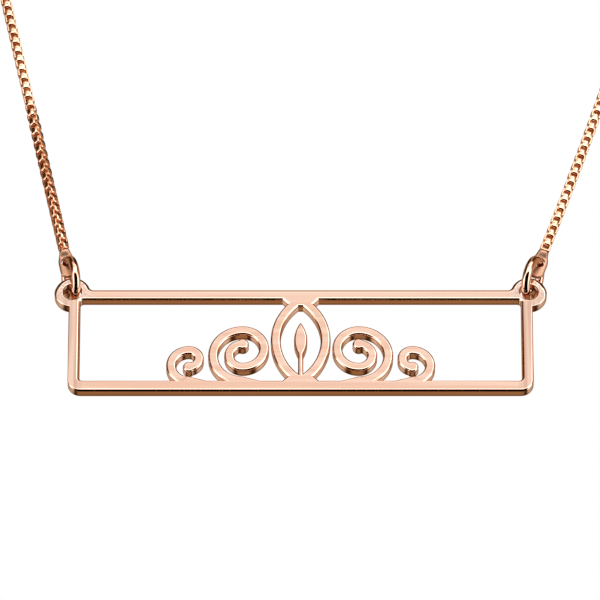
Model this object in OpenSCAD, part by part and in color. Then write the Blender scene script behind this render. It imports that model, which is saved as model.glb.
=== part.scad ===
// Nameplate necklace: a pierced bar pendant in an open frame, hung by two jump rings on a box chain.
// Millimetres, +Z up, +X to the right as seen from the front, the front faces -Y, origin at the nape.

/* [Nameplate frame] */
// Width of the open frame
frame_w = 40; // [36:1:50]
// Height of the open frame
frame_h = 10.3; // [9.8:0.1:14]
// Thickness of the sheet that the nameplate is cut from
plate_t = 1.03; // [0.8:0.01:1.2]
// Height of the upper bar
top_bar_h = 1.08; // [0.9:0.01:1.2]
// Height of the lower bar
bottom_bar_h = 1.07; // [0.9:0.01:1.2]
// Width of the two side bars
side_bar_w = 1.01; // [0.8:0.01:1.2]
// Radius of the lower outer corners
corner_r = 1.1; // [0.5:0.05:1.5]
// Radius of the window's corners
window_r = 0.3; // [0.15:0.05:0.5]

/* [Corner lugs] */
// Play between the jump ring's wire and the lug's hole, all round
hole_play = 0.4; // [0.36:0.01:0.5]
// Width of metal round the lug's hole
lug_rim = 0.77; // [0.6:0.01:0.85]
// How far the lug's centre stands in from the frame's side
lug_inset = 0.3; // [0.2:0.02:0.5]
// How far the lug's centre stands below the frame's upper edge
lug_drop = 0.3; // [0.1:0.02:0.4]
// Radius of the fillet between the lug and the upper bar
lug_fillet_r = 0.4; // [0.2:0.05:0.6]

/* [Pierced ornament] */
// Width of the cut strokes
stroke_w = 0.86; // [0.7:0.01:0.95]
// Width of the central leaf between the middles of its strokes
leaf_w = 4.3; // [3.8:0.1:4.8]
// Width of the bud inside the leaf
bud_w = 1.15; // [0.9:0.05:1.4]
// Height of the bud inside the leaf
bud_h = 3.6; // [3:0.1:4.2]
// Width of the bud's stalk
stalk_w = 0.45; // [0.3:0.05:0.6]
// Height of the large scrolls above the lower bar
scroll_h = 5.5; // [5.2:0.1:6]
// Height of the small scrolls above the lower bar
curl_h = 3.5; // [3.3:0.1:3.9]
// Free width between the turns of a scroll
turn_gap = 0.52; // [0.45:0.01:0.6]
// Free width between neighbouring motifs
motif_gap = 0.36; // [0.3:0.02:0.5]
// Diameter of the round ends inside the scrolls
ball_d = 1.06; // [0.95:0.01:1.2]
// Length of the tapered foot that leads each scroll out of the lower bar
foot = 1.5; // [1:0.1:2]
// Height of the slanting flares where the leaf meets the bars
flare = 0.7; // [0.4:0.05:0.9]

/* [Jump rings] */
// Thickness of the jump rings' wire
ring_wire = 0.78; // [0.65:0.01:0.85]
// Room between the ring's inside and the corners of the lug's rim
ring_room = 0.34; // [0.28:0.01:0.45]
// Height of the ring's centre above the lug's centre
ring_rise = 1.6; // [1.5:0.01:1.7]
// Distance of the ring's lowest wire from the hole's middle, towards the plate's middle
ring_shift = 0.18; // [0.1:0.01:0.2]
// Turn of each ring's front half towards the plate's middle, in degrees
ring_yaw = 12; // [4:1:13]

/* [Chain ends] */
// Play between a ring's wire and the eye of the chain end
eye_play = 0.09; // [0.08:0.01:0.12]
// Width of metal beside the eye
end_rim = 0.26; // [0.22:0.01:0.35]
// Thickness of the chain end at its eye
end_t = 0.42; // [0.34:0.01:0.48]
// Length of the chain end from its eye to the chain
end_len = 1.25; // [1.15:0.01:1.6]
// Gap between the chain end and the lug below it
end_lug_gap = 0.22; // [0.18:0.01:0.3]
// Gap between a chain end and the chain
join_gap = 0.05; // [0.03:0.01:0.1]

/* [Chain] */
// Width of the box chain
chain_w = 0.9; // [0.7:0.05:1]
// Bevel along the edges of the chain's outer form
chain_bevel = 0.22; // [0.1:0.01:0.25]
// Lean of the left chain where it leaves its ring, in degrees
lean_left = 12; // [8:1:16]
// Lean of the right chain where it leaves its ring, in degrees
lean_right = 19.5; // [14:0.5:22]
// Lean of the left chain at the top of its front run, in degrees
top_lean_left = 12; // [8:1:16]
// Lean of the right chain at the top of its front run, in degrees
top_lean_right = 16; // [12:1:20]
// Height of the front run of chain above each end piece
front_run = 28; // [22:1:34]

/* [Neck] */
// Width of the loop at the sides of the neck
neck_w = 100; // [90:1:115]
// Distance from the nape forward to the loop's widest points
neck_back = 45; // [40:1:52]
// Distance from the nape forward to the nameplate
reach = 88; // [80:1:96]
// Drop from the nape to the middle of the nameplate
drop = 128; // [120:1:140]
// Drop from the nape to the loop's widest points
side_drop = 13; // [8:1:18]
// Rise of the chain as it passes the widest points, in degrees
side_rise = 19; // [10:1:30]
// Length over which the chain bends on to the shoulder
shoulder_bend = 38; // [30:1:45]

/* [Clasp] */
// Outer diameter of the clasp ring
clasp_d = 6; // [5.6:0.1:7]
// Thickness of the clasp ring
clasp_wire = 1.1; // [0.9:0.05:1.2]

/* [Hidden] */
$fn = 96;
wire_fn = 48;
LEFT = -1;
RIGHT = 1;
rose_gold = [0.90, 0.68, 0.56];
satin_gold = [0.93, 0.75, 0.64];

// Heights on the nameplate are measured from its middle
top_z = frame_h / 2;
bottom_z = -frame_h / 2;
window_top = top_z - top_bar_h;
window_bottom = bottom_z + bottom_bar_h;
window_w = frame_w - 2 * side_bar_w;

// The lugs
hole_r = ring_wire / 2 + hole_play;
lug_r = hole_r + lug_rim;
lug_x = frame_w / 2 - lug_inset;
lug_z = top_z - lug_drop;

// The jump rings enclose the lug's rim, whose corners are half the plate's thickness from its middle
ring_inner_r = norm([plate_t / 2, ring_rise - hole_r]) + ring_room;
ring_r = ring_inner_r + ring_wire / 2;

// The chain ends
eye_r = ring_wire / 2 + eye_play;
back_eye_r = clasp_wire / 2 + eye_play;
back_len = end_len + back_eye_r - eye_r;

// The clasp's wire touches the neck at the origin
clasp_r = (clasp_d - clasp_wire) / 2;
nape_y = clasp_wire / 2;

// The leaf is two arcs between the bars, and the tips of its strokes end inside them
half_stroke = stroke_w / 2;
leaf_half_h = (window_top - window_bottom) / 2;
leaf_z = (window_top + window_bottom) / 2;
leaf_bend_r = bend_r(leaf_w, 2 * leaf_half_h);

// The scrolls stand on the lower bar, with the lower half of their first stroke sunk in it
scroll_r = (scroll_h - half_stroke) / 2;
curl_r = (curl_h - half_stroke) / 2;
turn_step = (turn_gap + stroke_w) / 2;
scroll_x = leaf_reach(window_bottom + scroll_r - leaf_z) + motif_gap + scroll_r - turn_step + half_stroke;
curl_x = scroll_x + scroll_r + motif_gap + curl_r - turn_step + stroke_w;

// Radius of the two arcs that make a pointed leaf of a width and a height
function bend_r(w, h) = (w * w + h * h) / (4 * w);

// The leaf's half width, to the outside of its stroke, at a height from its middle
function leaf_reach(z) =
    sqrt(pow(leaf_bend_r + half_stroke, 2) - z * z) - (leaf_bend_r - leaf_w / 2);

function unit(v) = v / norm(v);
function lean_at_ring(side) = side == LEFT ? lean_left : lean_right;
function lean_at_top(side) = side == LEFT ? top_lean_left : top_lean_right;

// A ring leans as its chain pulls it, and its lowest wire stays in the lug's hole
function pull(side) = [side * sin(lean_at_ring(side)), 0, cos(lean_at_ring(side))];
function ring_centre(side) =
    [side * (lug_x - ring_shift + ring_r * sin(lean_at_ring(side))), -reach, lug_z + ring_rise - drop];
function eye_centre(side) = ring_centre(side) + ring_r * pull(side);
function chain_start(side) = eye_centre(side) + (end_len + join_gap) * pull(side);

// How far a chain end reaches below its eye, so that it stops short of the lug
steep = max(lean_left, lean_right);
end_below = (ring_rise + ring_r * cos(steep) - lug_r - end_lug_gap) / cos(steep);

// The front run bends from its lean at the ring to its lean at the top
function run_point(side, h) =
    chain_start(side) + [side * (tan(lean_at_ring(side)) * h
        + (tan(lean_at_top(side)) - tan(lean_at_ring(side))) * h * h / (2 * front_run)), 0, h];

// The way over the shoulder joins the front run to the loop's widest point
function bezier(a, b, c, d, t) =
    pow(1 - t, 3) * a + 3 * t * pow(1 - t, 2) * b + 3 * t * t * (1 - t) * c + pow(t, 3) * d;
function side_point(side) = [side * neck_w / 2, -neck_back, -side_drop];
function shoulder_point(side, t) =
    bezier(run_point(side, front_run),
           run_point(side, front_run) + shoulder_bend * [side * tan(lean_at_top(side)), 0, 1],
           side_point(side) - shoulder_bend * [0, cos(side_rise), sin(side_rise)], side_point(side), t);

// The way round the neck is part of an ellipse that climbs to the nape
climb_shape = 1.6;
nape_angle = acos((clasp_r + back_len + join_gap) / (neck_w / 2));
function nape_point(side, t) =
    [side * cos(t * nape_angle) * neck_w / 2,
     nape_y - (neck_back + nape_y) * (1 - sin(t * nape_angle)),
     -side_drop * pow(1 - sin(t * nape_angle), climb_shape)];

run_rings = 6;
shoulder_rings = 17;
nape_rings = 16;
function route(side) = concat(
    [for (i = [0:run_rings - 1]) run_point(side, front_run * i / run_rings)],
    [for (i = [0:shoulder_rings - 1]) shoulder_point(side, i / shoulder_rings)],
    [for (i = [0:nape_rings]) nape_point(side, i / nape_rings)]);

// The chain lies flat on the neck, so one of its faces looks away from the loop's middle
function outward(p) = [pow(p.x / (neck_w / 2), 3), pow((p.y + reach / 2) / (reach / 2), 3), 0];
function tangent(points, i) = unit(points[min(i + 1, len(points) - 1)] - points[max(i - 1, 0)]);
chain_half = chain_w / 2;
chain_flat = chain_half - chain_bevel;
section = [[chain_half, -chain_flat], [chain_half, chain_flat],
           [chain_flat, chain_half], [-chain_flat, chain_half],
           [-chain_half, chain_flat], [-chain_half, -chain_flat],
           [-chain_flat, -chain_half], [chain_flat, -chain_half]];

// A pointed leaf of a width and a height, grown outward by an amount
module pointed_leaf(w, h, grow = 0) {
    r = bend_r(w, h);
    intersection_for (s = [-1, 1]) translate([s * (r - w / 2), 0]) circle(r + grow);
}

// The central leaf, with a bud on a stalk inside it
module leaf() {
    translate([0, leaf_z]) {
        difference() {
            pointed_leaf(leaf_w, 2 * leaf_half_h, half_stroke);
            pointed_leaf(leaf_w, 2 * leaf_half_h, -half_stroke);
        }
        pointed_leaf(bud_w, bud_h);
    }
    translate([-stalk_w / 2, window_bottom - half_stroke])
        square([stalk_w, leaf_z - window_bottom + half_stroke]);
}

// The flares run into the bar by half a stroke, and narrow at 45 degrees to the leaf's two strokes
module flares(bar_z, away) {
    wide = stroke_w + flare + half_stroke;
    polygon([[-wide, bar_z - away * half_stroke], [wide, bar_z - away * half_stroke],
             [stroke_w, bar_z + away * flare], [-stroke_w, bar_z + away * flare]]);
}

// Half of a stroke's circle, on the side that way points to, with a hair of overlap across the middle
module half_turn(r, way) {
    overlap = 0.02;
    intersection() {
        difference() {
            circle(r + half_stroke);
            circle(r - half_stroke);
        }
        translate([way > 0 ? -overlap : overlap - 2 * r, -2 * r]) square([2 * r, 4 * r]);
    }
}

// A scroll on the lower bar: each half turn is a step smaller, and starts where the last one ends
module scroll(r, turns) {
    translate([0, window_bottom]) polygon([[0, -half_stroke], [0, half_stroke], [-2 * foot, -half_stroke]]);
    for (turn = [0:turns - 1]) {
        turn_r = r - turn * turn_step;
        // The turns' centres lie one step apart, above and below the first one's by turns
        turn_z = window_bottom + r + (turn % 2 == 0 ? 0 : turn_step);
        way = turn % 2 == 0 ? 1 : -1;
        translate([0, turn_z]) half_turn(turn_r, way);
        if (turn == turns - 1) translate([0, turn_z + way * turn_r]) circle(d = ball_d);
    }
}

module ornament() {
    leaf();
    flares(window_top, -1);
    flares(window_bottom, 1);
    for (s = [0, 1]) mirror([s, 0]) {
        translate([scroll_x, 0]) scroll(scroll_r, 3);
        translate([curl_x, 0]) scroll(curl_r, 2);
    }
}

// The window, with its four rounded corners
module window() {
    w = window_w / 2 - window_r;
    low = window_bottom + window_r;
    high = window_top - window_r;
    translate([-w, window_bottom]) square([2 * w, window_top - window_bottom]);
    translate([-window_w / 2, low]) square([window_w, high - low]);
    for (x = [-w, w]) for (z = [low, high]) translate([x, z]) circle(window_r);
}

// The frame's outline, with its lower corners rounded
module frame_outline() {
    w = frame_w / 2 - corner_r;
    translate([-w, bottom_z]) square([2 * w, frame_h]);
    translate([-frame_w / 2, bottom_z + corner_r]) square([frame_w, frame_h - corner_r]);
    for (x = [-w, w]) translate([x, bottom_z + corner_r]) circle(corner_r);
}

// A lug on the right corner, with a fillet where it runs into the upper bar
module lug() {
    fillet_z = top_z + lug_fillet_r;
    fillet_x = lug_x - sqrt(pow(lug_r + lug_fillet_r, 2) - pow(fillet_z - lug_z, 2));
    translate([lug_x, lug_z]) circle(lug_r);
    difference() {
        polygon([[lug_x, lug_z], [fillet_x, fillet_z], [fillet_x, lug_z]]);
        translate([fillet_x, fillet_z]) circle(lug_fillet_r);
    }
}

module frame_face() {
    difference() {
        union() {
            frame_outline();
            for (s = [0, 1]) mirror([s, 0]) lug();
        }
        window();
        for (s = [-1, 1]) translate([s * lug_x, lug_z]) circle(hole_r);
    }
}

module nameplate() {
    color(satin_gold) translate([0, -reach, -drop]) rotate([90, 0, 0]) {
        linear_extrude(plate_t, center = true) frame_face();
        linear_extrude(plate_t, center = true) ornament();
    }
}

module ring(r, wire) {
    rotate_extrude() translate([r, 0]) circle(d = wire, $fn = wire_fn);
}

module jump_ring(side) {
    color(rose_gold) translate(ring_centre(side))
        rotate([0, side * lean_at_ring(side), 0]) rotate([0, 0, -side * ring_yaw]) rotate([0, 90, 0])
            ring(ring_r, ring_wire);
}

// A teardrop with its eye at the origin: it ends below in a round lobe, and above at the chain's width
module end_face(eye, below, above) {
    half_w = eye + end_rim;
    difference() {
        union() {
            translate([0, half_w - below]) circle(half_w);
            polygon([[-half_w, half_w - below], [half_w, half_w - below], [half_w, 0],
                     [chain_half, above], [-chain_half, above], [-half_w, 0]]);
        }
        circle(eye);
    }
}

// From the side it is thin at the eye, and as thick as the chain at the top
module end_side(eye, below, above) {
    half_t = end_t / 2;
    polygon([[-half_t, -below], [half_t, -below], [half_t, eye], [chain_half, above - half_t],
             [chain_half, above], [-chain_half, above], [-chain_half, above - half_t], [-half_t, eye]]);
}

module end_piece(eye, below, above) {
    intersection() {
        rotate([90, 0, 0]) linear_extrude(2 * chain_w, center = true) end_face(eye, below, above);
        rotate([90, 0, 90]) linear_extrude(4 * (eye + end_rim), center = true) end_side(eye, below, above);
    }
}

module chain_end(side) {
    color(rose_gold) translate(eye_centre(side)) rotate([0, side * lean_at_ring(side), 0])
        end_piece(eye_r, end_below, end_len);
}

module back_end(side) {
    color(rose_gold) translate([side * clasp_r, nape_y, 0]) rotate([0, side * 90, 0]) rotate([0, 0, 90])
        end_piece(back_eye_r, back_eye_r + end_rim, back_len);
}

module chain(side) {
    points = route(side);
    last = len(points) - 1;
    sides = len(section);
    corners = [for (i = [0:last])
        let (t = tangent(points, i), o = outward(points[i]), n = unit(o - (o * t) * t), b = cross(t, n))
            for (c = section) points[i] + c.x * b + c.y * n];
    walls = [for (i = [0:last - 1]) for (k = [0:sides - 1])
        let (a = i * sides + k, b = i * sides + (k + 1) % sides)
            each [[a, b, b + sides], [a, b + sides, a + sides]]];
    start_cap = [[for (k = [0:sides - 1]) sides - 1 - k]];
    end_cap = [[for (k = [0:sides - 1]) last * sides + k]];
    color(rose_gold) polyhedron(corners, concat(start_cap, walls, end_cap), convexity = 4);
}

module clasp() {
    color(rose_gold) translate([0, nape_y, 0]) rotate([90, 0, 0]) ring(clasp_r, clasp_wire);
}

nameplate();
jump_ring(LEFT);  // jump_ring_left
jump_ring(RIGHT);  // jump_ring_right
chain_end(LEFT);  // chain_end_left
chain_end(RIGHT);  // chain_end_right
chain(LEFT);  // chain_left
chain(RIGHT);  // chain_right
back_end(LEFT);  // back_end_left
back_end(RIGHT);  // back_end_right
clasp();
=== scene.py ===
import math
import random

import bmesh
import bpy
import numpy as np
from mathutils import Matrix, Vector


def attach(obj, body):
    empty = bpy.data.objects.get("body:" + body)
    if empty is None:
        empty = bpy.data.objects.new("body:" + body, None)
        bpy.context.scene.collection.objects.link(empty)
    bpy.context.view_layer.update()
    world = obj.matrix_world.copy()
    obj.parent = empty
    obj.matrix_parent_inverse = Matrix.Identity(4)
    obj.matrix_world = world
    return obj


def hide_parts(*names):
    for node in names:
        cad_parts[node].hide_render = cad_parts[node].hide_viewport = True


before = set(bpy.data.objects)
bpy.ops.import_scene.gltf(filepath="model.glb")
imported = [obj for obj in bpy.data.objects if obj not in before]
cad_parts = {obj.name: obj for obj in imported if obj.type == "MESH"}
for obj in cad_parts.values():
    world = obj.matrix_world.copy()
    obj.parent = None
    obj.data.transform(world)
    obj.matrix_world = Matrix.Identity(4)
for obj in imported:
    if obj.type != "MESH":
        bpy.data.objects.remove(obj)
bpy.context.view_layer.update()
scene = bpy.context.scene
MM = 0.001
LEFT = -1
RIGHT = 1
SIDES = ((LEFT, "left"), (RIGHT, "right"))

# Sizes of the object, in millimetres and degrees, as its solids have them
REACH = 88.0
DROP = 128.0
FRAME_W = 40.0
FRAME_H = 10.3
PLATE_T = 1.03
LUG_INSET = 0.3
LUG_DROP = 0.3
HOLE_PLAY = 0.4
LUG_RIM = 0.77
RING_WIRE = 0.78
RING_ROOM = 0.34
RING_RISE = 1.6
RING_SHIFT = 0.18
RING_YAW = 12.0
EYE_PLAY = 0.09
END_RIM = 0.26
END_T = 0.42
END_LEN = 1.25
END_LUG_GAP = 0.22
JOIN_GAP = 0.05
CHAIN_W = 0.9
FRONT_RUN = 28.0
LEAN = {LEFT: 12.0, RIGHT: 19.5}
TOP_LEAN = {LEFT: 12.0, RIGHT: 16.0}
NECK_W = 100.0
NECK_BACK = 45.0
SIDE_DROP = 13.0
SIDE_RISE = 19.0
SHOULDER_BEND = 38.0
CLIMB_SHAPE = 1.6
CLASP_D = 6.0
CLASP_WIRE = 1.1

# What follows from these sizes, as in the solids
LUG_X = FRAME_W / 2 - LUG_INSET
LUG_Z = FRAME_H / 2 - LUG_DROP
HOLE_R = RING_WIRE / 2 + HOLE_PLAY
LUG_R = HOLE_R + LUG_RIM
RING_R = math.hypot(PLATE_T / 2, RING_RISE - HOLE_R) + RING_ROOM + RING_WIRE / 2
STEEP = math.radians(max(LEAN.values()))
EYE_R = RING_WIRE / 2 + EYE_PLAY
END_BELOW = (RING_RISE + RING_R * math.cos(STEEP) - LUG_R - END_LUG_GAP) / math.cos(STEEP)
BACK_EYE_R = CLASP_WIRE / 2 + EYE_PLAY
BACK_LEN = END_LEN + BACK_EYE_R - EYE_R
CLASP_R = (CLASP_D - CLASP_WIRE) / 2
NAPE_Y = CLASP_WIRE / 2
PLATE_CENTRE = Vector((0, -REACH, -DROP))


# Small helpers

def object_from(name, places, faces):
    mesh = bpy.data.meshes.new(name)
    mesh.from_pydata([tuple(p) for p in places], [], [tuple(f) for f in faces])
    mesh.update()
    mesh.polygons.foreach_set("use_smooth", [True] * len(mesh.polygons))
    made = bpy.data.objects.new(name, mesh)
    scene.collection.objects.link(made)
    return made


def stand_for(made, node, body):
    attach(made, body)
    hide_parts(node)


def unit(v):
    return v / np.linalg.norm(v)


def clamped(value):
    return min(max(value, 0.0), 1.0)


# A ring leans as its chain pulls it, and its lowest wire stays in the lug's hole
def pull(side):
    lean = math.radians(LEAN[side])
    return np.array([side * math.sin(lean), 0.0, math.cos(lean)])


def ring_centre(side):
    lean = math.radians(LEAN[side])
    x = side * (LUG_X - RING_SHIFT + RING_R * math.sin(lean))
    return np.array([x, -REACH, LUG_Z + RING_RISE - DROP])


def eye_centre(side):
    return ring_centre(side) + RING_R * pull(side)


# A node tree of a material or of the world, with a method for each kind of node that it uses
class Graph:
    def __init__(self, tree):
        self.nodes = tree.nodes
        self.links = tree.links

    # A socket is fed by another node's output, by a number or by a colour of three numbers
    def feed(self, socket, value):
        if isinstance(value, bpy.types.NodeSocket):
            self.links.new(value, socket)
        elif socket.type == "RGBA":
            socket.default_value = (*value, 1)
        else:
            socket.default_value = value

    def maths(self, operation, first, second=0.0):
        node = self.nodes.new("ShaderNodeMath")
        node.operation = operation
        self.feed(node.inputs[0], first)
        self.feed(node.inputs[1], second)
        return node.outputs["Value"]

    def mix(self, factor, first, second):
        node = self.nodes.new("ShaderNodeMix")
        node.data_type = "RGBA"
        self.feed(node.inputs["Factor"], factor)
        self.feed(node.inputs["A"], first)
        self.feed(node.inputs["B"], second)
        return node.outputs["Result"]

    def ramp(self, value, stops):
        node = self.nodes.new("ShaderNodeValToRGB")
        elements = node.color_ramp.elements
        elements.remove(elements[-1])
        elements[0].position = stops[0][0]
        elements[0].color = (*stops[0][1], 1)
        for position, colour in stops[1:]:
            elements.new(position).color = (*colour, 1)
        self.feed(node.inputs["Fac"], value)
        return node.outputs["Color"]

    def span(self, value, low, high, results=(0.0, 1.0), shape="LINEAR"):
        node = self.nodes.new("ShaderNodeMapRange")
        node.interpolation_type = shape
        self.feed(node.inputs["From Min"], low)
        self.feed(node.inputs["From Max"], high)
        self.feed(node.inputs["To Min"], results[0])
        self.feed(node.inputs["To Max"], results[1])
        self.feed(node.inputs["Value"], value)
        return node.outputs["Result"]

    def noise(self, scale, detail, stretch=(1, 1, 1)):
        where = self.nodes.new("ShaderNodeTexCoord")
        mapping = self.nodes.new("ShaderNodeMapping")
        mapping.inputs["Scale"].default_value = stretch
        node = self.nodes.new("ShaderNodeTexNoise")
        self.feed(node.inputs["Scale"], scale)
        self.feed(node.inputs["Detail"], detail)
        self.links.new(where.outputs["Object"], mapping.inputs["Vector"])
        self.links.new(mapping.outputs["Vector"], node.inputs["Vector"])
        return node.outputs["Fac"]

    def coordinates(self, kind):
        where = self.nodes.new("ShaderNodeTexCoord")
        parts = self.nodes.new("ShaderNodeSeparateXYZ")
        self.links.new(where.outputs[kind], parts.inputs["Vector"])
        return parts.outputs["X"], parts.outputs["Y"], parts.outputs["Z"]


# Metals

def bare_metal(name):
    material = bpy.data.materials.new(name)
    material.use_nodes = True
    shader = material.node_tree.nodes["Principled BSDF"]
    shader.inputs["Metallic"].default_value = 1.0
    return material, Graph(material.node_tree), shader


def surface(graph, shader, colour, wear, rough, heights, relief, depth):
    graph.feed(shader.inputs["Base Color"], colour)
    graph.feed(shader.inputs["Roughness"], graph.span(wear, 0.0, 1.0, rough))
    bump = graph.nodes.new("ShaderNodeBump")
    graph.feed(bump.inputs["Strength"], relief)
    graph.feed(bump.inputs["Distance"], depth)
    graph.feed(bump.inputs["Height"], heights)
    graph.feed(shader.inputs["Normal"], bump.outputs["Normal"])


# Scales of the noise in the metals: the larger, the finer
TONE = 260.0
WEAR = 900.0
LONG_BRUSH = 2400.0
UPRIGHT_BRUSH = 3600.0
SAND = 9000.0
PLATE_WEAR = 2500.0
# How little a brushed line changes along its length
STROKE = 0.02

# Depths of the relief, in millimetres
GRAIN_DEPTH = 0.02
BRUSH_DEPTH = 0.01

# Where the plate's finish changes, in millimetres: in from its ends and up from its middle; and in from
# its rear, where a line of painted shade lies
SIDE_BAR_FADE = (1.4, 0.8)
CORNER_FADE = (2.4, 1.4)
CORNER_RISE = (3.4, 4.8)
REAR_SHADE_START = (0.38, 0.3)
REAR_SHADE_END = 0.17


def rose_gold(name, light, deep, rough, relief, grain, stretch=(1, 1, 1)):
    material, graph, shader = bare_metal(name)
    colour = graph.ramp(graph.noise(TONE, 3.0, stretch), [(0.35, deep), (0.65, light)])
    wear = graph.noise(WEAR, 2.0, stretch)
    heights = graph.noise(grain, 4.0, stretch)
    surface(graph, shader, colour, wear, rough, heights, relief, GRAIN_DEPTH * MM)
    return material


def shaded(colour, share):
    return tuple(share * c for c in colour)


def brushed_plate(name, light, deep, rough, relief):
    material, graph, shader = bare_metal(name)
    x, y, z = graph.coordinates("Object")
    aside = graph.maths("ABSOLUTE", x)
    deeper = shaded(deep, 0.82)

    def from_side(fade):
        return graph.span(aside, *[(FRAME_W / 2 - inwards) * MM for inwards in fade])

    # The long bars are brushed along their length, and the two side bars from top to bottom
    on_side_bar = from_side(SIDE_BAR_FADE)
    along = graph.noise(LONG_BRUSH, 2.0, (STROKE, 1, 1))
    down = graph.noise(UPRIGHT_BRUSH, 2.0, (1, 1, STROKE))
    along_colour = graph.ramp(along, [(0.38, deep), (0.6, light)])
    down_colour = graph.ramp(down, [(0.4, deeper), (0.58, shaded(light, 0.96))])
    colour = graph.mix(on_side_bar, along_colour, down_colour)
    # The upper corners have a fine sandy speckle
    at_top = graph.span(z, *[(PLATE_CENTRE.z + rise) * MM for rise in CORNER_RISE])
    corner = graph.maths("MULTIPLY", from_side(CORNER_FADE), at_top)
    sand = graph.noise(SAND, 2.0)
    colour = graph.mix(corner, colour, graph.ramp(sand, [(0.42, deeper), (0.58, (1.0, 0.84, 0.74))]))
    # The cut walls have a line of painted shade near their rear edge, darker than the metal
    rear = PLATE_T / 2 - REACH
    after_start = graph.span(y, *[(rear - inwards) * MM for inwards in REAR_SHADE_START])
    before_end = graph.maths("LESS_THAN", y, (rear - REAR_SHADE_END) * MM)
    colour = graph.mix(graph.maths("MULTIPLY", after_start, before_end), colour, shaded(deep, 0.5))
    # The speckle is also a fine relief, and so are the brushed lines
    heights = graph.mix(corner, graph.mix(on_side_bar, along, down), sand)
    wear = graph.noise(PLATE_WEAR, 2.0)
    surface(graph, shader, colour, wear, rough, heights, relief, BRUSH_DEPTH * MM)
    return material


plate_metal = brushed_plate("satin_rose_gold", light=(0.99, 0.70, 0.56), deep=(0.92, 0.59, 0.45),
                            rough=(0.05, 0.09), relief=0.3)
polished_metal = rose_gold("polished_rose_gold", light=(0.98, 0.69, 0.54), deep=(0.90, 0.57, 0.42),
                           rough=(0.03, 0.07), relief=0.03, grain=1500.0)
chain_metal = rose_gold("chain_rose_gold", light=(0.99, 0.66, 0.47), deep=(0.92, 0.55, 0.36),
                        rough=(0.10, 0.18), relief=0.05, grain=4000.0)
# The chain ends are the same rose gold painted darker and browner: painted shade for the dark
# surroundings their faces reflect
shaded_end_metal = rose_gold("shaded_end_rose_gold", light=(0.62, 0.35, 0.23), deep=(0.46, 0.25, 0.155),
                      rough=(0.34, 0.44), relief=0.1, grain=1800.0, stretch=(1, 1, 0.1))


# The nameplate: the outline of its solid, with every edge rounded

# Radii of the edges, in millimetres, and what is added to them or taken from them in places
PLAIN_EDGE_R = 0.2
WINDOW_END_MORE = 0.12
TOP_MORE = 0.15
LEFT_END_LESS = 0.15
HOLE_EDGE_R = 0.11
LUG_EDGE_R = 0.12
LUG_TOP_MORE = 0.25
LUG_OUTSIDE_MORE = 0.13
BACK_EDGE_R = 0.15
# How far these places reach: inwards from the plate's ends, round a hole, and past a lug
SIDE_BAR_REACH = 2.0
HOLE_REACH = 0.1
LUG_BLEND = 1.2
EDGE_STEPS = 6
SHARP_DEG = 25
# Corners closer than this are one, and a face within this of the front is part of it
WELD = 0.002
FRONT_PLAY = 0.01
# An edge's inset grows at a sharp corner, to at most twice its length
MITER_LEAST = 0.5


# The triangles of a solid's front face, and the loops of corners round them
def front_face(node):
    welded = bmesh.new()
    welded.from_mesh(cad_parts[node].data)
    bmesh.ops.remove_doubles(welded, verts=welded.verts, dist=WELD * MM)
    bmesh.ops.triangulate(welded, faces=welded.faces)
    welded.verts.index_update()
    corners = np.array([v.co for v in welded.verts]) / MM
    front = corners[:, 1].min()
    triangles = []
    for face in welded.faces:
        triangle = [v.index for v in face.verts]
        if max(corners[c, 1] for c in triangle) < front + FRONT_PLAY:
            triangles.append(triangle)
    welded.free()
    used = set()
    for a, b, c in triangles:
        used.update(((a, b), (b, c), (c, a)))
    following = {a: b for a, b in used if (b, a) not in used}
    loops = []
    left = set(following)
    while left:
        at = min(left)
        loop = []
        while at in left:
            left.remove(at)
            loop.append(at)
            at = following[at]
        loops.append(loop)
    # The outermost loop comes first
    loops.sort(key=lambda loop: -max(corners[v, 0] for v in loop))
    return corners, triangles, loops


# Radius of a front edge: softest on top of the lugs and the upper bar, and sharpest at the left end
def edge_radius(x, z, out_x, out_z, on_outside):
    from_lug = math.hypot(abs(x) - LUG_X, z - PLATE_CENTRE.z - LUG_Z)
    if from_lug < HOLE_R + HOLE_REACH:
        return HOLE_EDGE_R
    if not on_outside:
        on_side_bar = abs(x) > FRAME_W / 2 - SIDE_BAR_REACH
        return PLAIN_EDGE_R + WINDOW_END_MORE * out_x * out_x if on_side_bar else PLAIN_EDGE_R
    plain = PLAIN_EDGE_R - LEFT_END_LESS * min(out_x, 0.0) ** 2 + TOP_MORE * max(out_z, 0.0)
    # Towards a lug the radius runs over into the lug's own
    upward = clamped(0.5 + 1.2 * out_z)
    outer_side = max(out_x * math.copysign(1, x), 0.0)
    on_lug = LUG_EDGE_R + upward * (LUG_TOP_MORE + LUG_OUTSIDE_MORE * outer_side)
    away = clamped((from_lug - LUG_R) / LUG_BLEND)
    return plain + (on_lug - plain) * (1 - away) ** 2


# The corners before and after each corner of the loops, which are numbered one after another
def neighbours(loops):
    before = []
    after = []
    for loop in loops:
        first = len(after)
        count = len(loop)
        after += [first + (k + 1) % count for k in range(count)]
        before += [first + (k - 1) % count for k in range(count)]
    return np.array(before), np.array(after)


# The directions out of the metal, of each edge and of each corner: at the rightmost they go to +X
def outward_ways(flat, before, after):
    way = flat[after] - flat
    way /= np.linalg.norm(way, axis=1)[:, None]
    edge_out = np.stack([way[:, 1], -way[:, 0]], 1)
    rightmost = np.argmax(flat[:, 0])
    if edge_out[rightmost, 0] + edge_out[before[rightmost], 0] < 0:
        edge_out = -edge_out
    corner_out = edge_out + edge_out[before]
    corner_out /= np.linalg.norm(corner_out, axis=1)[:, None]
    return edge_out, corner_out


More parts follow.
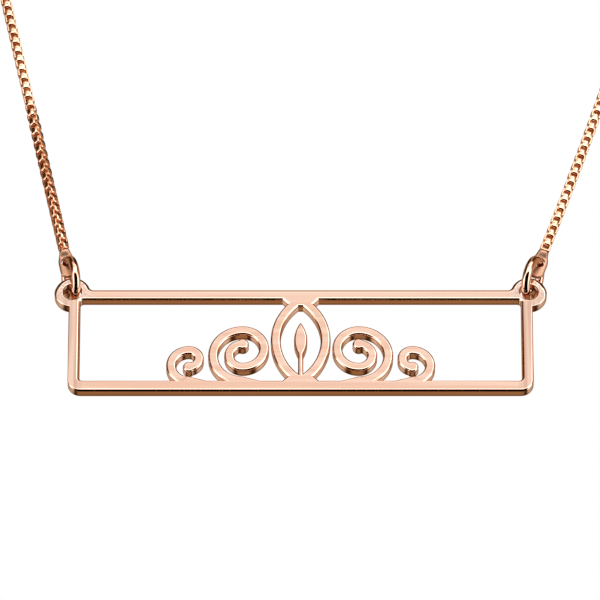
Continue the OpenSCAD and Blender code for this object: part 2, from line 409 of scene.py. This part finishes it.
def rounded_plate(name, node):
    corners, triangles, loops = front_face(node)
    front = corners[:, 1].min()
    back = corners[:, 1].max()
    order = [v for loop in loops for v in loop]
    rim_of = {v: k for k, v in enumerate(order)}
    count = len(order)
    flat = corners[order][:, [0, 2]]
    before, after = neighbours(loops)
    edge_out, corner_out = outward_ways(flat, before, after)
    share = np.clip(np.sum(corner_out * edge_out, axis=1), MITER_LEAST, 1.0)
    miter = corner_out / share[:, None]
    smooth = np.sum(edge_out * edge_out[before], axis=1) > math.cos(math.radians(SHARP_DEG))
    outside = len(loops[0])
    radius = np.array([edge_radius(*flat[k], *corner_out[k], k < outside) for k in range(count)])
    # Each rim has how far its normal has turned from the front face, which is 0, to the back face
    angles = [math.pi / 2 * k / EDGE_STEPS for k in range(EDGE_STEPS + 1)]
    rims = [(a, False) for a in angles] + [(a + math.pi / 2, True) for a in angles]
    places = []
    for turn, at_back in rims:
        r = np.full(count, BACK_EDGE_R) if at_back else radius
        inset = r * (1 - math.sin(turn))
        depth = back - r * (1 + math.cos(turn)) if at_back else front + r * (1 - math.cos(turn))
        rim = flat - miter * inset[:, None]
        places.append(np.stack([rim[:, 0], depth, rim[:, 1]], 1))
    faces = []
    normals = []
    last = (len(rims) - 1) * count
    for triangle in triangles:
        a, b, c = (rim_of[v] for v in triangle)
        faces.append((a, b, c))
        normals += [(0, -1, 0)] * 3
        faces.append((last + c, last + b, last + a))
        normals += [(0, 1, 0)] * 3
    for r in range(len(rims) - 1):
        this_turn = rims[r][0]
        next_turn = rims[r + 1][0]
        for i in range(count):
            j = after[i]
            faces.append((r * count + j, r * count + i, (r + 1) * count + i, (r + 1) * count + j))
            for corner, turn in ((j, this_turn), (i, this_turn), (i, next_turn), (j, next_turn)):
                out = corner_out[corner] if smooth[corner] else edge_out[i]
                normals.append((out[0] * math.sin(turn), -math.cos(turn), out[1] * math.sin(turn)))
    made = object_from(name, np.concatenate(places) * MM, faces)
    made.data.normals_split_custom_set(normals)
    return made


plate = rounded_plate("pierced_plate", "nameplate")
plate.data.materials.append(plate_metal)
stand_for(plate, "nameplate", "pendant")


# The way of the chain, as its solid goes

def bezier(a, b, c, d, t):
    return (1 - t) ** 3 * a + 3 * t * (1 - t) ** 2 * b + 3 * t * t * (1 - t) * c + t ** 3 * d


def run_point(side, h):
    low = math.tan(math.radians(LEAN[side]))
    high = math.tan(math.radians(TOP_LEAN[side]))
    start = eye_centre(side) + (END_LEN + JOIN_GAP) * pull(side)
    return start + np.array([side * (low * h + (high - low) * h * h / (2 * FRONT_RUN)), 0.0, h])


def shoulder_point(side, t):
    high = math.tan(math.radians(TOP_LEAN[side]))
    rise = math.radians(SIDE_RISE)
    low_end = run_point(side, FRONT_RUN)
    top_end = np.array([side * NECK_W / 2, -NECK_BACK, -SIDE_DROP])
    low_hand = low_end + SHOULDER_BEND * np.array([side * high, 0.0, 1.0])
    top_hand = top_end - SHOULDER_BEND * np.array([0.0, math.cos(rise), math.sin(rise)])
    return bezier(low_end, low_hand, top_hand, top_end, t)


def nape_point(side, t):
    angle = t * math.acos((CLASP_R + BACK_LEN + JOIN_GAP) / (NECK_W / 2))
    x = side * math.cos(angle) * NECK_W / 2
    y = NAPE_Y - (NECK_BACK + NAPE_Y) * (1 - math.sin(angle))
    return np.array([x, y, -SIDE_DROP * (1 - math.sin(angle)) ** CLIMB_SHAPE])


# One box link: a flat strip bent round a rounded square, about its own middle

LINK_W = CHAIN_W
LINK_L = 0.81
STRIP_T = 0.16
STRIP_W = 0.56
CORNER_R = 0.16
PITCH = 0.485
SIDE_BOW = 0.02
CROWN = 0.006
BEVEL = 0.015
CORNER_STEPS = 3


# Points along the strip's middle line, each with the direction out of the link
def link_path():
    half_w = LINK_W / 2 - STRIP_T / 2
    half_l = LINK_L / 2 - STRIP_T / 2
    r = CORNER_R - STRIP_T / 2
    path = []
    for quarter, (to_x, to_z) in enumerate(((1, 1), (-1, 1), (-1, -1), (1, -1))):
        x = (half_w - SIDE_BOW - r) * to_x
        z = (half_l - r) * to_z
        for k in range(CORNER_STEPS + 1):
            a = math.pi / 2 * (quarter + k / CORNER_STEPS)
            path.append((x + r * math.cos(a), z + r * math.sin(a), math.cos(a), math.sin(a)))
        if quarter in (1, 3):
            # The two long sides bow outwards
            straight = half_l - r
            side = -1 if quarter == 1 else 1
            for share in (-0.5, 0.0, 0.5):
                lean = 2 * SIDE_BOW * share / straight
                bowed = half_w - SIDE_BOW * share * share
                path.append((side * bowed, side * straight * share, side, side * lean))
    return path


def link_shape():
    path = link_path()
    t = STRIP_T / 2
    w = STRIP_W / 2
    section = [(t, -w + BEVEL), (t + CROWN, 0.0), (t, w - BEVEL), (t - BEVEL, w), (-t + BEVEL, w),
               (-t, w - BEVEL), (-t, -w + BEVEL), (-t + BEVEL, -w), (t - BEVEL, -w)]
    places = []
    for x, z, out_x, out_z in path:
        for out, across in section:
            places.append((x + out_x * (out - CROWN), across, z + out_z * (out - CROWN)))
    n = len(section)
    faces = []
    for i in range(len(path)):
        following = (i + 1) % len(path)
        for k in range(n):
            beside = (k + 1) % n
            faces.append((i * n + k, following * n + k, following * n + beside, i * n + beside))
    return np.array(places), np.array(faces)


# The links' middles, evenly spaced, and the chain's direction at each

END_ROOM = 0.42
LOOK_AHEAD = 0.3
RUN_STEPS = 80
BEND_STEPS = 400


def chain_way(side):
    rough = [run_point(side, FRONT_RUN * i / RUN_STEPS) for i in range(RUN_STEPS)]
    rough += [shoulder_point(side, i / BEND_STEPS) for i in range(BEND_STEPS)]
    rough += [nape_point(side, i / BEND_STEPS) for i in range(BEND_STEPS + 1)]
    rough = np.array(rough)
    spans = np.linalg.norm(np.diff(rough, axis=0), axis=1)
    along = np.concatenate([[0], np.cumsum(spans)])
    room = along[-1] - 2 * END_ROOM
    count = int(room / PITCH) + 1
    spots = END_ROOM + np.arange(count) * room / (count - 1)

    def at(distances):
        return np.stack([np.interp(distances, along, rough[:, k]) for k in range(3)], 1)

    way = at(spots + LOOK_AHEAD) - at(spots - LOOK_AHEAD)
    way /= np.linalg.norm(way, axis=1)[:, None]
    return spots, at(spots), way


# The chain lies flat on the neck, so one of its faces looks away from the loop's middle
def outward(p):
    return np.array([(p[0] / (NECK_W / 2)) ** 3, ((p[1] + REACH / 2) / (REACH / 2)) ** 3, 0.0])


# How far the chain is turned about its own line: millimetres from its start, then degrees
TWIST = {
    LEFT: [(0, -52), (4.8, -50), (6, -45), (7, -37), (9.5, -33), (13.4, -25), (14.4, -16), (15.3, -3),
           (17, 6), (40, 7), (70, 0)],
    RIGHT: [(0, -7), (40, -7), (70, 0)],
}
# How far each link is turned and tipped at random, in degrees either way
LOOSENESS = 2.5
SEED = 7


def links_along(side):
    shape, faces = link_shape()
    rng = random.Random(SEED + side)
    twist = np.array(TWIST[side], float)
    places = []
    all_faces = []
    for i, (spot, centre, way) in enumerate(zip(*chain_way(side))):
        out = outward(centre)
        face = unit(out - np.dot(out, way) * way)
        across = np.cross(face, way)
        turn = math.radians(np.interp(spot, twist[:, 0], twist[:, 1]) * -side)
        # Every second link stands square to the one before it
        turn += math.radians(90) * (i % 2)
        turn += math.radians(rng.uniform(-LOOSENESS, LOOSENESS))
        tip = math.radians(rng.uniform(-LOOSENESS, LOOSENESS))
        x_axis = math.cos(turn) * across + math.sin(turn) * face
        y_axis = np.cross(way, x_axis)
        z_axis = unit(way + math.tan(tip) * x_axis)
        x_axis = np.cross(y_axis, z_axis)
        places.append(centre + shape @ np.stack([x_axis, y_axis, z_axis]))
        all_faces.append(faces + i * len(shape))
    return np.concatenate(places) * MM, np.concatenate(all_faces)


for side, word in SIDES:
    box_links = object_from(f"box_links_{word}", *links_along(side))
    box_links.data.materials.append(chain_metal)
    stand_for(box_links, f"chain_{word}", "loop")


# Chain ends: smooth drops with an eye, thin at the eye and as thick as the chain above

LOBE_POWER = 2.6
LOBE_LEAST = 0.0004
SECTION_POWER = 0.62
# Shares of a drop's height above its eye: where it begins to thicken, and over how much it does
THICKEN_FROM = 0.3
THICKEN_OVER = 0.6
TIP_R = 0.12
# The eye's bobbin: its lining, and how it widens from near the drop's middle plane
EYE_LINING = 0.01
FLARE_FROM = 0.06
FLARE = 0.5
CUT_REACH = 0.9
CUT_STEPS = 16
EYE_AROUND = 48
DROP_ROWS = 40
DROP_AROUND = 40
SHARP_RIM_DEG = 50


def eased(share):
    return share * share * (3 - 2 * share)


# Height, half width and half thickness of each section of a drop
def drop_rows(eye, below, above):
    half_w = eye + END_RIM
    rows = []
    for k in range(DROP_ROWS + 1):
        z = -below + (below + above) * k / DROP_ROWS
        if z < half_w - below:
            share = (half_w - below - z) / half_w
            width = half_w * max(1 - share ** LOBE_POWER, LOBE_LEAST) ** (1 / LOBE_POWER)
        elif z < 0:
            width = half_w
        else:
            width = half_w + (CHAIN_W / 2 - half_w) * eased(z / above)
        thickening = eased(clamped((z - THICKEN_FROM * above) / (THICKEN_OVER * above)))
        thick = END_T / 2 + (CHAIN_W / 2 - END_T / 2) * thickening
        from_tip = min((above - z) / TIP_R, 1.0)
        inset = TIP_R * (1 - math.sqrt(max(1 - (1 - from_tip) ** 2, 0.0)))
        rows.append((z, width - inset, min(thick, width) - inset))
    return rows


# The side walls and both ends of a stack of rings with a number of corners each. The drop's rings rise
# along +Z and the cutter's go along +Y, so one goes round the other way for its faces to look outwards.
def tube_faces(rings, around, other_way):
    faces = []
    for i in range(rings - 1):
        here = i * around
        there = here + around
        for k in range(around):
            j = (k + 1) % around
            if other_way:
                faces.append((here + k, there + k, there + j, here + j))
            else:
                faces.append((here + k, here + j, there + j, there + k))
    first = tuple(range(around))
    last = tuple(range((rings - 1) * around, rings * around))
    return faces + ([first, last[::-1]] if other_way else [first[::-1], last])


def rounded_power(value):
    return math.copysign(abs(value) ** SECTION_POWER, value)


def solid_drop(name, eye, below, above):
    rows = drop_rows(eye, below, above)
    places = []
    for z, width, thick in rows:
        for k in range(DROP_AROUND):
            a = 2 * math.pi * k / DROP_AROUND
            places.append((width * rounded_power(math.cos(a)), thick * rounded_power(math.sin(a)), z))
    return object_from(name, places, tube_faces(len(rows), DROP_AROUND, False))


# The eye is cut by a bobbin, which is wider at both faces, so its rims come out rounded
def eye_cutter(name, eye):
    depths = [y * CUT_REACH / CUT_STEPS for y in range(-CUT_STEPS, CUT_STEPS + 1)]
    places = []
    for y in depths:
        beyond = max(abs(y) - FLARE_FROM, 0.0)
        r = eye + EYE_LINING + beyond * beyond * FLARE
        for k in range(EYE_AROUND):
            a = 2 * math.pi * k / EYE_AROUND
            places.append((r * math.cos(a), y, r * math.sin(a)))
    return object_from(name, places, tube_faces(len(depths), EYE_AROUND, True))


# A drop with its eye cut, turned and set in its place
def drop_end(name, node, eye, below, above, turn, place):
    drop = solid_drop(name, eye, below, above)
    cutter = eye_cutter(name + "_cutter", eye)
    cut = drop.modifiers.new("eye", "BOOLEAN")
    cut.operation = "DIFFERENCE"
    cut.solver = "EXACT"
    cut.object = cutter
    bpy.context.view_layer.update()
    ready = bpy.data.meshes.new_from_object(drop.evaluated_get(bpy.context.evaluated_depsgraph_get()))
    drop.modifiers.clear()
    drop.data = ready
    bpy.data.objects.remove(cutter)
    places = np.array([v.co for v in ready.vertices]) @ turn.T + place
    ready.vertices.foreach_set("co", (places * MM).ravel())
    ready.update()
    ready.shade_smooth()
    ready.set_sharp_from_angle(angle=math.radians(SHARP_RIM_DEG))
    ready.materials.clear()
    ready.materials.append(shaded_end_metal)
    stand_for(drop, node, "loop")


for side, word in SIDES:
    up = pull(side)
    turn = np.stack([(up[2], 0.0, -up[0]), (0.0, 1.0, 0.0), up], 1)
    drop_end(f"drop_end_{word}", f"chain_end_{word}", EYE_R, END_BELOW, END_LEN, turn, eye_centre(side))
    turn = np.stack([(0.0, side, 0.0), (0.0, 0.0, 1.0), (side, 0.0, 0.0)], 1)
    place = np.array([side * CLASP_R, NAPE_Y, 0.0])
    drop_end(f"drop_back_{word}", f"back_end_{word}", BACK_EYE_R, BACK_EYE_R + END_RIM, BACK_LEN,
             turn, place)


# Rings of round wire, about the X axis before they are turned

RING_AROUND = 128
WIRE_AROUND = 32


def wire_ring(name, node, radius, wire, turn, place):
    places = []
    faces = []
    for i in range(RING_AROUND):
        a = 2 * math.pi * i / RING_AROUND
        here = i * WIRE_AROUND
        there = ((i + 1) % RING_AROUND) * WIRE_AROUND
        for k in range(WIRE_AROUND):
            b = 2 * math.pi * k / WIRE_AROUND
            beside = (k + 1) % WIRE_AROUND
            r = radius + wire / 2 * math.cos(b)
            places.append((wire / 2 * math.sin(b), r * math.cos(a), r * math.sin(a)))
            faces.append((here + k, there + k, there + beside, here + beside))
    places = (np.array(places) @ np.array(turn).T + np.array(place)) * MM
    made = object_from(name, places, faces)
    made.data.materials.append(polished_metal)
    stand_for(made, node, "loop")


for side, word in SIDES:
    leant = Matrix.Rotation(math.radians(side * LEAN[side]), 3, "Y")
    yawed = Matrix.Rotation(math.radians(-side * RING_YAW), 3, "Z")
    wire_ring(f"round_ring_{word}", f"jump_ring_{word}", RING_R, RING_WIRE, leant @ yawed,
              ring_centre(side))
facing_back = Matrix.Rotation(math.pi / 2, 3, "Z")
wire_ring("closing_ring", "clasp", CLASP_R, CLASP_WIRE, facing_back, (0, NAPE_Y, 0))


# Soft studio light all round

# The room is white to the eye and on the floor, and only polished metal shows its darker parts.
# Each part is a band of colours. It goes from straight ahead of the pendant, which is 0 degrees,
# over the top at 90 to the back at 180, and below the pendant from 0 to -180.
GLOW = 2.0
REAR = (0.34, 0.28, 0.22)
BLACK = (0.002, 0.001, 0.0)
CEILING = (0.02, 0.01, 0.004)
LOW_REAR = [(-180, REAR), (-165, (0.28, 0.22, 0.16)), (-152, (0.10, 0.055, 0.022))]

MIDDLE = [
    (-180, REAR),
    (-168, (0.30, 0.24, 0.18)),
    (-160, (0.03, 0.012, 0.003)),
    (-154, (0.03, 0.012, 0.003)),
    (-151, (0.15, 0.085, 0.037)),
    (-140, (0.16, 0.088, 0.038)),
    (-125, (0.02, 0.01, 0.003)),
    (-112, BLACK),
    (-5, BLACK),
    (2, (1.2, 1.18, 1.16)),
    (6, (1.5, 1.48, 1.46)),
    (20, (1.4, 1.38, 1.36)),
    (27, (0.55, 0.54, 0.53)),
    (29, (0.49, 0.48, 0.47)),
    (35, (0.49, 0.48, 0.47)),
    (39, (0.95, 0.93, 0.91)),
    (46, (0.80, 0.76, 0.72)),
    (54, (0.45, 0.36, 0.29)),
    (64, (0.24, 0.15, 0.10)),
    (118, (0.20, 0.12, 0.075)),
    (138, (0.27, 0.18, 0.12)),
    (156, (0.27, 0.18, 0.12)),
    (180, REAR),
]


# Beyond the middle stand two bright sides, and over them the dark of the ceiling
def flank(fill):
    return LOW_REAR + [
        (-120, (0.14, 0.08, 0.036)),
        (-100, (0.95, 0.93, 0.91)),
        (-30, (1.15, 1.13, 1.11)),
        (16, (1.1, 1.08, 1.06)),
        (34, fill),
        (44, fill),
        (54, (0.24, 0.16, 0.11)),
        (60, CEILING),
        (144, CEILING),
        (154, (0.22, 0.14, 0.09)),
        (180, REAR),
    ]


# At the far left and right the room is dark again from a height upwards
def edge_of_room(fade, deep, behind):
    return LOW_REAR + [
        (-110, (0.14, 0.08, 0.036)),
        (-92, (0.8, 0.78, 0.76)),
        (0, (0.9, 0.88, 0.86)),
        (fade, (0.40, 0.30, 0.22)),
        (fade + 18, deep),
        (88, deep),
        (104, behind),
        (126, behind),
        (142, (0.24, 0.15, 0.09)),
        (164, (0.20, 0.12, 0.07)),
        (180, REAR),
    ]


LEFT_FLANK = flank((0.40, 0.30, 0.22))
RIGHT_FLANK = flank((1.5, 1.48, 1.46))
LEFT_EDGE = edge_of_room(8, (0.02, 0.009, 0.003), (0.14, 0.075, 0.035))
RIGHT_EDGE = edge_of_room(24, (0.14, 0.075, 0.035), (0.22, 0.12, 0.06))

# Where one part runs over into the next: the sideways share of a direction, from 0 ahead to 1 aside
MIDDLE_REACH = 0.22
MIDDLE_FADE = 0.1
WIDER_BELOW = 0.42
NARROWER_ABOVE = 0.11
FLANKS_MEET = (-0.05, 0.05)
LEFT_EDGE_FADE = (0.48, 0.58)
RIGHT_EDGE_FADE = (0.56, 0.66)
EDGES_FARTHER_BELOW = 0.24
# The angles, in degrees, between which a direction begins to count as below or as above
BELOW = (10, -20)
ABOVE = (50, 70)


def studio_light(graph):
    x, y, z = graph.coordinates("Generated")
    angle = graph.maths("ARCTAN2", z, graph.maths("MULTIPLY", y, -1.0))
    turned = graph.maths("ADD", graph.maths("DIVIDE", angle, 2 * math.pi), 0.5)

    def band(table):
        return graph.ramp(turned, [((degrees + 180) / 360, colour) for degrees, colour in table])

    def step_up(value, low, high):
        return graph.span(value, low, high, shape="SMOOTHSTEP")

    # The dark middle is wider at the camera's own height than above it
    low = step_up(angle, *[math.radians(degrees) for degrees in BELOW])
    high = step_up(angle, *[math.radians(degrees) for degrees in ABOVE])
    widened = graph.maths("ADD", graph.maths("MULTIPLY", low, WIDER_BELOW), MIDDLE_REACH)
    inner = graph.maths("SUBTRACT", widened, graph.maths("MULTIPLY", high, NARROWER_ABOVE))
    outer = graph.maths("ADD", inner, MIDDLE_FADE)
    both_flanks = graph.mix(step_up(x, *FLANKS_MEET), band(LEFT_FLANK), band(RIGHT_FLANK))
    light = graph.mix(step_up(graph.maths("ABSOLUTE", x), inner, outer), band(MIDDLE), both_flanks)
    farther = graph.maths("MULTIPLY", low, EDGES_FARTHER_BELOW)
    leftwards = graph.maths("SUBTRACT", graph.maths("MULTIPLY", x, -1.0), farther)
    rightwards = graph.maths("SUBTRACT", x, farther)
    light = graph.mix(step_up(leftwards, *LEFT_EDGE_FADE), light, band(LEFT_EDGE))
    return graph.mix(step_up(rightwards, *RIGHT_EDGE_FADE), light, band(RIGHT_EDGE))


world = bpy.data.worlds.new("studio")
scene.world = world
world.use_nodes = True
world.node_tree.nodes.clear()
room = Graph(world.node_tree)
studio = room.nodes.new("ShaderNodeBackground")
room.feed(studio.inputs["Color"], studio_light(room))
room.feed(studio.inputs["Strength"], GLOW)
plain = room.nodes.new("ShaderNodeBackground")
room.feed(plain.inputs["Color"], (1, 1, 1))
room.feed(plain.inputs["Strength"], 1.0)
ray = room.nodes.new("ShaderNodeLightPath")
either = room.nodes.new("ShaderNodeMixShader")
output = room.nodes.new("ShaderNodeOutputWorld")
unshaped = room.maths("MAXIMUM", ray.outputs["Is Camera Ray"], ray.outputs["Is Diffuse Ray"])
room.feed(either.inputs["Fac"], unshaped)
room.feed(either.inputs[1], studio.outputs["Background"])
room.feed(either.inputs[2], plain.outputs["Background"])
room.feed(output.inputs["Surface"], either.outputs["Shader"])

# A plain pale floor, well below the hanging necklace
FLOOR_Z = -0.62
FLOOR_REACH = 4
corner_ways = ((-1, -1), (1, -1), (1, 1), (-1, 1))
floor_corners = [(x * FLOOR_REACH, y * FLOOR_REACH, FLOOR_Z) for x, y in corner_ways]
floor = object_from("floor", floor_corners, [(0, 1, 2, 3)])
pale = bpy.data.materials.new("pale_floor")
pale.use_nodes = True
pale_shader = pale.node_tree.nodes["Principled BSDF"]
pale_shader.inputs["Base Color"].default_value = (0.9, 0.9, 0.89, 1)
pale_shader.inputs["Roughness"].default_value = 0.6
floor.data.materials.append(pale)
floor.visible_glossy = False

# The camera looks up at the pendant from in front and below. The middle of the photograph lies above
# the plate's middle and to the left of it, by these two numbers of the photograph's pixels.
PHOTO_W = 600
PX_PER_MM = 11.62
AIM_ABOVE_PX = 42.6
AIM_LEFT_PX = 0.65
ELEVATION = math.radians(-32.0)
DISTANCE = 710.0
SENSOR_W = 36.0
look = Vector((0, math.cos(ELEVATION), -math.sin(ELEVATION)))
above = Vector((0, math.sin(ELEVATION), math.cos(ELEVATION)))
to_left = Vector((-AIM_LEFT_PX / PX_PER_MM, 0, 0))
aim = (PLATE_CENTRE + above * (AIM_ABOVE_PX / PX_PER_MM) + to_left) * MM
camera_data = bpy.data.cameras.new("camera")
camera_data.sensor_width = SENSOR_W
camera_data.lens = SENSOR_W * PX_PER_MM * DISTANCE / PHOTO_W
camera_data.clip_start = 0.01
camera = bpy.data.objects.new("camera", camera_data)
scene.collection.objects.link(camera)
camera.location = aim - look * DISTANCE * MM
camera.rotation_euler = look.to_track_quat("-Z", "Y").to_euler()
scene.camera = camera
scene.view_settings.view_transform = "Standard"
